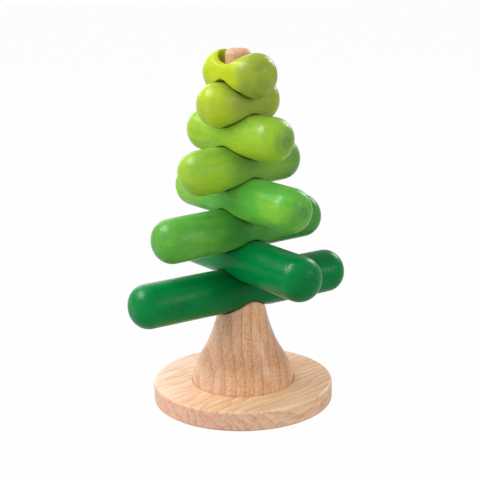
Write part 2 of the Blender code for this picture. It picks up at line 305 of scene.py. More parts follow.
@dataclass(frozen=True)
class StainedWood:
    """Wood stained through a satin lacquer, with its grain along the piece's X axis.

    Attributes:
        name: The material's name.
        stain: The colour over most of the piece.
        glow: The lighter, yellower colour of paler patches and towards the end at -X, there partly
            a yellower stain and partly painted light.
        deep: The darker colour at the waist and towards the end at +X, partly stain and partly
            painted shade, and in the pores.
        seed: A number that moves the pattern, so that no two pieces look alike.
        half_length: Half the branch's length.
        waist_stain_and_shade: How much of the deep colour the waist takes, partly stain taken up
            where the saddles cut the grain and partly painted shade under the branch above.
        right_stain_and_shade: How much of it the end at +X takes, partly a greener stain and partly
            painted shade on the side away from the light.
        flat_share: How much of it the small flat on that end takes.
        right_start: Where that end's deeper tone, partly painted shade, starts, as a share of the
            half length.
    """

    name: str
    stain: Color
    glow: Color
    deep: Color
    seed: float
    half_length: float
    waist_stain_and_shade: float
    right_stain_and_shade: float
    flat_share: float
    right_start: float = 0.15
    right_full: float = 0.75
    left_span: Span = (0.1, 0.95)
    waist_span: Span = (8 * MM, 27 * MM)
    left_stain_and_light: float = 0.6
    end_span: Span = (0.72, 0.98)
    end_strength: float = 0.7
    tip_span: Span = (0.985, 0.998)
    tip_strength: float = 0.35
    clouds: Figure = Figure(20 * MM, 32 * MM, 2.0, 0.6)
    cloud_share: float = 0.8
    glow_span: Span = (0.45, 0.64)
    glow_strength: float = 0.7
    shade_span: Span = (0.48, 0.68)
    shade_strength: float = 0.3
    streaks: Figure = Figure(3.2 * MM, 45 * MM, 3.0, 0.55)
    streak_span: Span = (0.42, 0.6)
    fibres: Figure = Figure(0.8 * MM, 14 * MM, 2.0, 0.5)
    fibre_span: Span = (0.45, 0.7)
    fibre_strength: float = 0.16
    flecks: Figure = Figure(0.75 * MM, 5 * MM, 1.0, 0.5)
    pore_span: Span = (0.66, 0.76)
    pore_strength: float = 0.3
    speckles: Figure = Figure(1.15 * MM, 1.15 * MM, 1.0, 0.5)
    speckle_span: Span = (0.5, 0.68)
    speckle_strength: float = 0.12
    speckle_relief: float = 0.7
    fibre_relief: float = 0.5
    bump_height: float = 0.34 * MM
    bump_strength: float = 0.8
    roughness: float = 0.21
    speckle_roughness: float = 0.2
    pore_roughness: float = 0.1
    specular_level: float = 0.12
    rim_sheen: float = 0.03
    rim_roughness: float = 0.3

    def _noise(self, recipe: Recipe, figure: Figure) -> ShaderValue:
        """Return a figure's noise along the branch.

        Args:
            recipe: The material's recipe.
            figure: The figure.

        Returns:
            The noise's value.
        """
        shift = tuple(self.seed * step for step in SEED_STEPS)
        scale = (1 / figure.length, 1 / figure.pitch, 1 / figure.pitch)
        return recipe.noise(recipe.placed(scale, shift), figure)

    def _along_x(self, recipe: Recipe, output: str) -> ShaderValue:
        """Return the X share of one kind of the piece's own coordinates."""
        vector = recipe.node("ShaderNodeTexCoord").outputs[output]
        return recipe.value(recipe.node("ShaderNodeSeparateXYZ", {}, {0: vector}), "X")

    def material(self) -> bpy.types.Material:
        """Build the finish's nodes.

        Returns:
            The material.
        """
        material, recipe = new_material(self.name)
        along = self._along_x(recipe, "Object")
        facing = self._along_x(recipe, "Normal")
        streaks = self._noise(recipe, self.streaks)
        fibres = self._noise(recipe, self.fibres)
        flecks = self._noise(recipe, self.flecks)
        clouds = self._noise(recipe, self.clouds)
        speckles = self._noise(recipe, self.speckles)

        # Lighter and yellower towards the end at -X: partly a yellower stain, partly painted light
        # on the side the light comes from.
        at_left = (along / -self.half_length).above(*self.left_span)
        # Darker towards the end at +X: partly a greener stain, partly painted shade on the side
        # away from the light.
        at_right = (along / self.half_length).above(self.right_start, self.right_full)
        # Darker at the waist: partly stain taken up where the saddles cut the grain, partly painted
        # shade where the branch above shades it.
        at_waist = 1 - along.size().above(*self.waist_span)
        # Darker on the small flat and the rounding of the end at +X.
        plus_end_darkening = facing.above(*self.end_span) * self.end_strength
        plus_end_darkening = plus_end_darkening + facing.above(*self.tip_span) * self.tip_strength
        mottle = clouds * self.cloud_share + streaks * (1 - self.cloud_share)
        pale = mottle.above(*self.glow_span) * self.glow_strength + at_left * self.left_stain_and_light
        dark = (1 - mottle).above(*self.shade_span) * self.shade_strength
        dark = dark + plus_end_darkening * self.flat_share
        dark = dark + at_waist * self.waist_stain_and_shade + at_right * self.right_stain_and_shade
        pores = flecks.above(*self.pore_span) * streaks.above(*self.streak_span)
        color = recipe.blend(pale, self.stain, self.glow)
        for share in (
            dark,
            fibres.above(*self.fibre_span) * self.fibre_strength,
            pores * self.pore_strength,
            speckles.above(*self.speckle_span) * self.speckle_strength,
        ):
            color = recipe.blend(share, color, self.deep)
        height = speckles * self.speckle_relief + fibres * self.fibre_relief
        uneven = (speckles - NOISE_MEAN) * self.speckle_roughness
        recipe.surface(
            {
                "Base Color": color,
                "Roughness": self.roughness + uneven + pores * self.pore_roughness,
                "Specular IOR Level": self.specular_level,
                "Sheen Weight": self.rim_sheen,
                "Sheen Roughness": self.rim_roughness,
                "Normal": recipe.relief(height, self.bump_height, self.bump_strength),
            }
        )
        return material


@dataclass(frozen=True)
class ClearWood:
    """Pale wood under a thin clear lacquer, with growth rings round a pith outside the piece.

    Attributes:
        name: The material's name.
        pale: The wood between the rings.
        line: The rings' darker edge.
        blush: The pinker tint of some areas and of the pale flecks, and the painted sheen on the
            wood nearest the pith, which lies on the lit side.
        pore: The fine dark pores.
        end: The colour of end grain.
        grain: The direction that the fibres run in.
        pith: A point on the pith, in metres, in the piece's own coordinates.
    """

    name: str
    pale: Color
    line: Color
    blush: Color
    pore: Color
    end: Color
    grain: Vector
    pith: Vector
    ring_pitch: float = 8 * MM
    ring_share: float = 0.12
    ring_strength: float = 0.6
    faint_ring_share: float = 0.35
    fade_start: float = 0.2
    fade_strength: float = 0.1
    wander: float = 4 * MM
    ripple: float = 0.35 * MM
    clouds: Figure = Figure(20 * MM, 90 * MM, 1.0)
    cloud_span: Span = (0.4, 0.62)
    cloud_strength: float = 0.35
    gaps: Figure = Figure(11 * MM, 90 * MM, 1.0)
    gap_span: Span = (0.3, 0.65)
    bands: Figure = Figure(2.6 * MM, 110 * MM, 3.0)
    band_span: Span = (0.42, 0.68)
    band_strength: float = 0.15
    fibres: Figure = Figure(0.9 * MM, 16 * MM, 3.0)
    fibre_span: Span = (0.48, 0.72)
    fibre_strength: float = 0.2
    flecks: Figure = Figure(0.65 * MM, 1.3 * MM, 1.0)
    fleck_span: Span = (0.52, 0.66)
    glint_span: Span = (0.5, 0.64)
    fleck_strength: float = 0.35
    end_span: Span = (0.45, 0.9)
    painted_sheen_span: Span = (0.0, 1 * MM)
    painted_sheen_strength: float = 0.0
    roughness: float = 0.42
    fleck_roughness: float = 0.2
    specular_level: float = 0.15
    coat_weight: float = 0.25
    coat_roughness: float = 0.22
    relief_share: float = 0.5
    bump_height: float = 0.07 * MM
    bump_strength: float = 0.5

    def _turned_coordinates(self, recipe: Recipe) -> bpy.types.NodeSocket:
        """Return the piece's coordinates from the pith, turned so that the grain runs along Z.

        Args:
            recipe: The material's recipe.

        Returns:
            The coordinates' socket.
        """
        coordinates = recipe.node("ShaderNodeTexCoord").outputs["Object"]
        turn = self.grain.normalized().rotation_difference(Vector((0.0, 0.0, 1.0))).to_euler()
        moved = recipe.node(
            "ShaderNodeVectorMath", {"operation": "SUBTRACT"}, {0: coordinates, 1: tuple(self.pith)}
        )
        inputs = {"Vector": moved.outputs["Vector"], "Rotation": tuple(turn)}
        return recipe.node("ShaderNodeMapping", {"vector_type": "POINT"}, inputs).outputs["Vector"]

    def _end_grain(self, recipe: Recipe) -> ShaderValue:
        """Return how squarely the surface cuts the fibres, 0 to 1.

        Args:
            recipe: The material's recipe.

        Returns:
            The share.
        """
        normal = recipe.node("ShaderNodeTexCoord").outputs["Normal"]
        inputs = {0: normal, 1: tuple(self.grain.normalized())}
        node = recipe.node("ShaderNodeVectorMath", {"operation": "DOT_PRODUCT"}, inputs)
        return recipe.value(node, "Value").size()

    def _noise(self, recipe: Recipe, vector: bpy.types.NodeSocket, figure: Figure) -> ShaderValue:
        """Return a figure's noise along the grain.

        Args:
            recipe: The material's recipe.
            vector: The coordinates, with the grain along Z.
            figure: The figure.

        Returns:
            The noise's value.
        """
        scale = (1 / figure.pitch, 1 / figure.pitch, 1 / figure.length)
        inputs = {"Vector": vector, "Scale": scale}
        node = recipe.node("ShaderNodeMapping", {"vector_type": "POINT"}, inputs)
        return recipe.noise(node.outputs["Vector"], figure)

    def material(self) -> bpy.types.Material:
        """Build the finish's nodes.

        Returns:
            The material.
        """
        material, recipe = new_material(self.name)
        vector = self._turned_coordinates(recipe)
        clouds = self._noise(recipe, vector, self.clouds)
        bands = self._noise(recipe, vector, self.bands)
        fibres = self._noise(recipe, vector, self.fibres)
        flecks = self._noise(recipe, vector, self.flecks)
        gaps = self._noise(recipe, vector, self.gaps).above(*self.gap_span)

        parts = recipe.node("ShaderNodeSeparateXYZ", {}, {0: vector})
        side = recipe.value(parts, "X")
        front = recipe.value(parts, "Y")
        distance = (side * side + front * front) ** 0.5
        distance = distance + (clouds - NOISE_MEAN) * (2 * self.wander)
        distance = distance + (fibres - NOISE_MEAN) * (2 * self.ripple)
        ring = (distance / self.ring_pitch).fraction()
        full = 1 - self.ring_share
        after = 1 - ring.above(1 - self.ring_share / 2, 1.0)
        edge = ring.above(1 - 2 * self.ring_share, full) * after
        fade = ring.above(self.fade_start, full) * after
        squarely = self._end_grain(recipe)
        # Painted sheen: nearest the pith, on the lit side of the base and the trunk, the wood is
        # paler and pinker and its ring lines fade.
        painted_sheen = (1 - distance.above(*self.painted_sheen_span)) * self.painted_sheen_strength
        edge = edge * (self.faint_ring_share + gaps * (1 - self.faint_ring_share)) * (1 - painted_sheen)

        color = self.pale
        for share, tint in (
            (clouds.above(*self.cloud_span) * self.cloud_strength + painted_sheen, self.blush),
            (squarely.above(*self.end_span), self.end),
            (bands.above(*self.band_span) * self.band_strength, self.line),
            (fade * self.fade_strength, self.line),
            (edge * self.ring_strength, self.line),
            (fibres.above(*self.fibre_span) * self.fibre_strength, self.line),
            # Pale flecks in the blush tone: partly the wood's own flecks, partly painted glints.
            ((1 - flecks).above(*self.glint_span) * self.fleck_strength, self.blush),
            (flecks.above(*self.fleck_span) * self.fleck_strength, self.pore),
        ):
            color = recipe.blend(share, color, tint)
        height = fibres * self.relief_share + flecks * (1 - self.relief_share)
        recipe.surface(
            {
                "Base Color": color,
                "Roughness": self.roughness + (flecks - NOISE_MEAN) * self.fleck_roughness,
                "Specular IOR Level": self.specular_level,
                "Coat Weight": self.coat_weight,
                "Coat Roughness": self.coat_roughness,
                "Normal": recipe.relief(height, self.bump_height, self.bump_strength),
            }
        )
        return material


@dataclass(frozen=True)
class PlatedSteel:
    """Zinc plated steel with duller patches.

    Attributes:
        name: The material's name.
        bright: The metal's colour.
        dull: Its duller patches.
    """

    name: str
    bright: Color
    dull: Color
    patches: Figure = Figure(2.5 * MM, 2.5 * MM, 3.0)
    patch_span: Span = (0.4, 0.65)
    roughness: float = 0.32
    patch_roughness: float = 0.2

    def material(self) -> bpy.types.Material:
        """Build the finish's nodes.

        Returns:
            The material.
        """
        material, recipe = new_material(self.name)
        even = 1 / self.patches.pitch
        patches = recipe.noise(recipe.placed((even, even, even)), self.patches)
        color = recipe.blend(patches.above(*self.patch_span), self.bright, self.dull)
        recipe.surface(
            {
                "Base Color": color,
                "Metallic": 1.0,
                "Roughness": self.roughness + (patches - NOISE_MEAN) * self.patch_roughness,
            }
        )
        return material


class Way(Enum):
    """The way that a saddle is let into a branch."""

    UP = 1
    DOWN = -1


@dataclass(frozen=True)
class SaddleCut:
    """A saddle-shaped notch that takes the neighbouring branch.

    Attributes:
        depth: How deep it is at its middle, on the rod's axis.
        turn: Its turn from the branch's axis, in radians.
        reach: How far from its middle it opens out.
        run_out: The radius it runs out with, beyond its reach.
    """

    depth: float
    turn: float
    reach: float
    run_out: float

    def _drop(self, distance: np.ndarray) -> np.ndarray:
        """Return how far the notch has opened at each distance from its middle.

        Args:
            distance: The distances.

        Returns:
            The changes of height.
        """
        share = np.minimum(np.abs(distance) / self.reach, 1.0)
        beyond = np.maximum(np.abs(distance) - self.reach, 0.0)
        return self.depth * 0.5 * (1 - np.cos(np.pi * share)) + beyond**2 / (2 * self.run_out)

    def height(self, along: np.ndarray, across: np.ndarray) -> np.ndarray:
        """Return the height that the saddle leaves over the branch's axis.

        Args:
            along: Places along the branch, from the rod's axis.
            across: Places across it.

        Returns:
            The heights.
        """
        cosine, sine = math.cos(self.turn), math.sin(self.turn)
        turned_along = along * cosine + across * sine
        turned_across = across * cosine - along * sine
        return self.reach - self.depth + self._drop(turned_along) - self._drop(turned_across)


@dataclass(frozen=True)
class Bore:
    """The oblong hole through a branch's waist, centred on the rod.

    Attributes:
        half_width: Half its width, across the branch.
        straight: Half the length of its straight sides.
        rounding: The radius of its broken rim.
    """

    half_width: float
    straight: float
    rounding: float = 0.6 * MM

    @property
    def half_length(self) -> float:
        """Return half the length of the hole."""
        return self.half_width + self.straight

    def half_width_at(self, along: np.ndarray) -> np.ndarray:
        """Return half the hole's width at places along the branch, 0 beyond its ends."""
        beyond = np.maximum(np.abs(along) - self.straight, 0.0)
        return np.sqrt(np.maximum(self.half_width**2 - beyond**2, 0.0))

    def rim_drop(self, along: np.ndarray, across: np.ndarray) -> np.ndarray:
        """Return how far the rounded rim lies below the unbroken surface.

        Args:
            along: Places along the branch, from the rod's axis.
            across: Places across it.

        Returns:
            The drops.
        """
        beyond = np.maximum(np.abs(along) - self.straight, 0.0)
        distance = np.hypot(beyond, across) - self.half_width
        inward = np.clip(self.rounding - distance, 0.0, self.rounding)
        return self.rounding - np.sqrt(np.maximum(self.rounding**2 - inward**2, 0.0))


def add_mesh(
    name: str, points: np.ndarray, faces: Sequence[Sequence[int]], sharp_angle: float = 0.8
) -> bpy.types.Object:
    """Make a smooth object, with coincident points welded.

    Args:
        name: Its name.
        points: Its points, one row each, in metres.
        faces: The points of each face.
        sharp_angle: The angle in radians above which an edge stays sharp.

    Returns:
        The object, linked to the scene.
    """
    mesh = bpy.data.meshes.new(name)
    mesh.from_pydata([tuple(point) for point in points], [], [tuple(face) for face in faces])
    work = bmesh.new()
    work.from_mesh(mesh)
    bmesh.ops.remove_doubles(work, verts=work.verts, dist=WELD_DISTANCE)
    bmesh.ops.recalc_face_normals(work, faces=work.faces)
    work.to_mesh(mesh)
    work.free()
    mesh.shade_smooth()
    mesh.set_sharp_from_angle(angle=sharp_angle)
    item = bpy.data.objects.new(name, mesh)
    bpy.context.scene.collection.objects.link(item)
    return item


def dress(item: bpy.types.Object, material: bpy.types.Material) -> None:
    """Give an object this one material."""
    item.data.materials.clear()
    item.data.materials.append(material)


@dataclass
class Branch:
    """One round-ended dowel with saddles above and below and a bore through its waist.

    Attributes:
        name: Its CAD node's name, which is also its body's.
        length: Its length.
        turn: Its turn about the rod, in radians.
        offset: How far its middle sits off the rod along the branch.
        height: Its axis's height.
        radius: Its radius.
        top: The saddle above.
        bottom: The saddle below.
        bore: The hole for the rod.
        finish: Its stain.
    """

    name: str
    length: float
    turn: float
    offset: float
    height: float
    radius: float
    top: SaddleCut
    bottom: SaddleCut
    bore: Bore
    finish: StainedWood
    flat_radius: float = 4.2 * MM
    flat_crease: float = math.radians(8)
    full_reach: float = 9 * MM
    full_power: float = 2.8
    blend: float = 1.5 * MM
    arc_steps: int = 12
    bore_steps: int = 10
    side_steps: int = 44
    waist_step: float = 1.1 * MM
    flank_step: float = 1.9 * MM
    least_step: float = 0.1 * MM
    least_opening: float = 0.001 * MM
    end_margin: float = 0.01 * MM
    seam_sine: float = 1e-9
    rim_steps: tuple[float, ...] = (0.0, 0.08 * MM, 0.2 * MM, 0.4 * MM, 0.6 * MM, 1.2 * MM)

    @property
    def end_turn(self) -> float:
        """Return the angle that an end's rounding turns through."""
        return QUARTER_TURN - self.flat_crease

    @property
    def end_rounding(self) -> float:
        """Return the radius of an end's rounding."""
        return (self.radius - self.flat_radius) / (1 - math.cos(self.end_turn))

    @property
    def straight(self) -> float:
        """Return where an end's rounding starts, from the branch's middle."""
        return self.length / 2 - self.end_rounding * math.sin(self.end_turn)

    @property
    def fuller_reach(self) -> float:
        """Return how far from the rod the section is fuller than a circle."""
        return self.radius + self.full_reach

    def _stations(self) -> np.ndarray:
        """Place the cross-sections, closest at the bore's and the branch's rounded ends.

        Returns:
            Their places along the branch, from the rod's axis.
        """
        bore = self.bore
        first = bore.straight + bore.half_width * math.sin(QUARTER_TURN / self.bore_steps)
        count = math.ceil(first / self.waist_step)
        places = [first * step / count for step in range(count)]
        for step in range(1, self.bore_steps + 1):
            turn = QUARTER_TURN * step / self.bore_steps
            places.append(bore.straight + bore.half_width * math.sin(turn))
        for step in self.rim_steps[1:]:
            places.append(bore.half_length + step)
        inner = np.array([sign * place for place in places for sign in (-1, 1)])
        outer = []
        for sign in (-1, 1):
            first = sign * (bore.half_length + self.rim_steps[-1])
            last = self.offset + sign * self.straight
            count = max(1, math.ceil((last - first) * sign / self.flank_step))
            for step in range(1, count):
                outer.append(first + (last - first) * step / count)
            for step in range(self.arc_steps + 1):
                turn = self.end_turn * step / self.arc_steps
                place = self.straight + self.end_rounding * math.sin(turn)
                outer.append(self.offset + sign * place)
        clear = [place for place in outer if np.min(np.abs(inner - place)) > self.least_step]
        return np.unique(np.concatenate([inner, clear]))

    def _section_radius(self, along: np.ndarray) -> np.ndarray:
        """Return the dowel's radius at places along it, smaller at its rounded ends.

        Args:
            along: The places, from the rod's axis.

        Returns:
            The radii.
        """
        beyond = np.maximum(np.abs(along - self.offset) - self.straight, 0.0)
        rounding = self.end_rounding
        fall = rounding - np.sqrt(np.maximum(rounding**2 - beyond**2, 0.0))
        return self.radius - fall

    def _half(self, along: np.ndarray, side: int) -> np.ndarray:
        """Return one side's grid of points, from the top's middle line round to the bottom's.

        Args:
            along: The stations.
            side: 1 or -1 across the branch.

        Returns:
            The points, by station and then by place round the section.
        """
        # Near the rod the round section swells towards a squarer one.
        radius = self._section_radius(along)[:, None]
        reach = np.minimum(np.abs(along) / self.fuller_reach, 1.0)
        fullness = 0.5 * (1 + np.cos(np.pi * reach))
        exponent = (2 / (2 + (self.full_power - 2) * fullness))[:, None]
        # The points run from the bore's upper rim round the flank to its lower rim.
        hole = self.bore.half_width_at(along)[:, None]
        rim = hole + np.array(self.rim_steps)[None, :]
        rim_turn = np.arccos(np.clip((rim / radius) ** (1 / exponent), 0.0, 1.0))
        share = np.linspace(1.0, -1.0, self.side_steps + 1)[None, 1:-1]
        side_turn = rim_turn[:, -1:] * share
        turn = np.concatenate([rim_turn, side_turn, -rim_turn[:, ::-1]], axis=1)
        across = side * radius * np.cos(turn) ** exponent
        rise = radius * np.abs(np.sin(turn)) ** exponent
        # The saddles cut what is higher, over a small blend, and the bore's rims are broken.
        place = np.broadcast_to(along[:, None], across.shape)
        above, below = self.top.height(place, across), self.bottom.height(place, across)
        left = np.where(turn > 0, above, below)
        lower = np.clip(0.5 + 0.5 * (left - rise) / self.blend, 0.0, 1.0)
        blended = left * (1 - lower) + rise * lower - self.blend * lower * (1 - lower)
        rise = np.minimum(rise, blended) - self.bore.rim_drop(place, across)
        rise = np.where(np.abs(np.sin(turn)) < self.seam_sine, 0.0, np.maximum(rise, 0.0))
        return np.stack([place, across, np.sign(turn) * rise], axis=-1)

    def build(self) -> bpy.types.Object:
        """Build the branch's mesh in its own coordinates, X along it, and put it in place.

        Returns:
            The object.
        """
        along = self._stations()
        right, left = self._half(along, 1), self._half(along, -1)
        count, columns = right.shape[:2]
        points = np.concatenate([right.reshape(-1, 3), left.reshape(-1, 3)])
        open_at = self.bore.half_width_at(along) > self.least_opening
        faces = []
        for station in range(count - 1):
            for start, flip in ((0, False), (count * columns, True)):
                first = start + station * columns
                second = first + columns
                for column in range(columns - 1):
                    start_at, end_at = first + column, second + column
                    face = (start_at, end_at, end_at + 1, start_at + 1)
                    faces.append(face[::-1] if flip else face)
                if open_at[station] or open_at[station + 1]:
                    faces.append((first, second, second + columns - 1, first + columns - 1))
        for station in (0, count - 1):
            first = station * columns
            ring = list(range(first, first + columns))
            other = count * columns + first
            ring += list(range(other + columns - 2, other, -1))
            faces.append(ring)
        item = add_mesh(self.name + "_stained", points, faces)
        if self.finish.flat_share > 0:
            self._sharpen_ends(item)
        turn = Matrix.Rotation(self.turn, 4, "Z")
        item.matrix_world = Matrix.Translation((0.0, 0.0, self.height)) @ turn
        return item

    def _sharpen_ends(self, item: bpy.types.Object) -> None:
        """Keep the edge of the small flats on the ends crisp.

        Args:
            item: The branch.
        """
        mesh = item.data
        outer = self.length / 2 - self.end_margin
        ends = [abs(vertex.co.x - self.offset) > outer for vertex in mesh.vertices]
        flags = np.zeros(len(mesh.edges), dtype=bool)
        for edge in mesh.edges:
            on_flat = ends[edge.vertices[0]] and ends[edge.vertices[1]]
            flags[edge.index] = edge.use_edge_sharp or on_flat
        mesh.attributes["sharp_edge"].data.foreach_set("value", flags)

    def finish_off(self) -> None:
        """Build, stain and attach the branch."""
        item = self.build()
        dress(item, self.finish.material())
        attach(item, self.name)
        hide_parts(self.name)
        LOG.info("%s: %d faces", item.name, len(item.data.polygons))


@dataclass
class BranchStack:
    """All the branches, from the top one down.

    Attributes:
        radius: The dowel's radius.
        lengths: The branches' lengths.
        turns: Their turns about the rod, in degrees.
        offsets: How far their middles sit off the rod.
        stains: Their finishes.
    """

    radius: float
    lengths: tuple[float, ...]
    turns: tuple[float, ...]
    offsets: tuple[float, ...]
    stains: tuple[StainedWood, ...]
    notch_depth: float = NOTCH_DEPTH
    top_crossing_saddle_depth: float = 5.7 * MM
    top_crossing_notch_depth: float = 6.4 * MM
    open_depth: float = 4.25 * MM
    seat_gap: float = 0.4 * MM
    run_out: float = NOTCH_RUN_OUT
    rod_radius: float = 8.4 * MM
    side_clearance: float = 0.8 * MM
    end_clearance: float = 1.6 * MM
    top_side_clearance: float = 1.9 * MM
    top_end_clearance: float = 6.2 * MM

    def _depths(self, crossing: int) -> tuple[float, float]:
        """Return how deep the two notches of one crossing are.

        Args:
            crossing: The crossing, 0 at the top.

        Returns:
            The depths of the lower branch's saddle and of the upper one's notch.
        """
        if crossing == 0:
            return self.top_crossing_saddle_depth, self.top_crossing_notch_depth
        return self.notch_depth, self.notch_depth

    def _heights(self) -> list[float]:
        """Count the axes' heights up from the lowest branch's solid.

        Returns:
            The heights, from the top branch down.
        """
        last = len(self.turns) - 1
        low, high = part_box(f"branch_{last + 1}")
        heights = [(low.z + high.z) / 2]
        for crossing in reversed(range(last)):
            rest = 2 * (self.radius - min(self._depths(crossing)))
            heights.insert(0, heights[0] + rest + self.seat_gap)
        return heights

    def _crossing_turn(self, crossing: int) -> float:
        """Return the turn of the saddles that two neighbours share.

        Args:
            crossing: The crossing, 0 at the top.

        Returns:
            The turn in radians.
        """
        upper, lower = self.turns[crossing], self.turns[crossing + 1]
        square = RIGHT_ANGLE if lower < upper else -RIGHT_ANGLE
        return math.radians((upper + lower + square) / 2)

    def _saddle(self, index: int, way: Way) -> SaddleCut:
        """Return one of a branch's two saddles.

        Args:
            index: The branch, 0 at the top.
            way: Whether the saddle is above or below.

        Returns:
            The saddle.
        """
        own = math.radians(self.turns[index])
        last = len(self.turns) - 1
        if way is Way.UP:
            depth, turn = self.open_depth, 0.0
            if index > 0:
                depth = self._depths(index - 1)[0]
                turn = self._crossing_turn(index - 1) - own
                turn -= math.copysign(QUARTER_TURN, turn)
        else:
            depth, turn = self.notch_depth, 0.0
            if index < last:
                depth = self._depths(index)[1]
                turn = self._crossing_turn(index) - own
        return SaddleCut(depth, turn, self.radius, self.run_out)

    def _bore(self, index: int) -> Bore:
        """Return a branch's bore. The top one is wider and longer.

        Args:
            index: The branch, 0 at the top.

        Returns:
            The bore.
        """
        side, end = self.side_clearance, self.end_clearance
        if index == 0:
            side, end = self.top_side_clearance, self.top_end_clearance
        return Bore(self.rod_radius + side, end - side)

    def finish_off(self) -> None:
        """Build and attach every branch."""
        for index, (stain, height) in enumerate(zip(self.stains, self._heights())):
            branch = Branch(
                name=f"branch_{index + 1}",
                length=self.lengths[index],
                turn=math.radians(self.turns[index]),
                offset=self.offsets[index],
                height=height,
                radius=self.radius,
                top=self._saddle(index, Way.UP),
                bottom=self._saddle(index, Way.DOWN),
                bore=self._bore(index),
                finish=stain,
            )
            branch.finish_off()


def catmull_share(shares: Sequence[float], place: float) -> float:
    """Return a smooth curve's height between evenly spaced shares.

    Args:
        shares: The curve's heights at equal steps.
        place: Where to read it, 0 at the first and 1 at the last.

    Returns:
        The height.
    """
    last = len(shares) - 1
    start = min(int(place * last), last - 1)
    part = place * last - start
    before, first = shares[max(start - 1, 0)], shares[start]
    second, after = shares[start + 1], shares[min(start + 2, last)]
    slope_in, slope_out = (second - before) / 2, (after - first) / 2
    square = 3 * (second - first) - 2 * slope_in - slope_out
    cube = 2 * (first - second) + slope_in + slope_out
    return first + slope_in * part + square * part**2 + cube * part**3


def skin_profiles(name: str, profiles: np.ndarray) -> bpy.types.Object:
    """Skin one profile per angle round the Z axis.

    Args:
        name: The object's name.
        profiles: The profiles, by angle, place and (radius, height), from the axis to the axis.

    Returns:
        The object.
    """
    sides, places = profiles.shape[:2]
    turn = np.arange(sides) * FULL_TURN / sides
    points = np.empty((sides, places, 3))
    points[..., 0] = profiles[..., 0] * np.cos(turn)[:, None]
    points[..., 1] = profiles[..., 0] * np.sin(turn)[:, None]
    points[..., 2] = profiles[..., 1]
    faces = []
    for side in range(sides):
        first, second = side * places, (side + 1) % sides * places
        for place in range(places - 1):
            if place == 0:
                faces.append((first, second + 1, first + 1))
            elif place == places - 2:
                faces.append((first + place, second + place, first + place + 1))
            else:
                near, far = first + place, second + place
                faces.append((near, far, far + 1, near + 1))
    return add_mesh(name, points.reshape(-1, 3), faces)


def arc(
    radius: float, height: float, rounding: float, turns: Span, steps: int
) -> list[Point]:
    """Return profile points on an arc.

    Args:
        radius: The arc's centre, from the axis.
        height: The centre's height.
        rounding: The arc's radius.
        turns: Its first and last angle in radians.
        steps: How many stretches it has.

    Returns:
        The points as (radius, height).
    """
    points = []
    for step in range(steps + 1):
        angle = turns[0] + (turns[1] - turns[0]) * step / steps
        points.append((radius + rounding * math.cos(angle), height + rounding * math.sin(angle)))
    return points


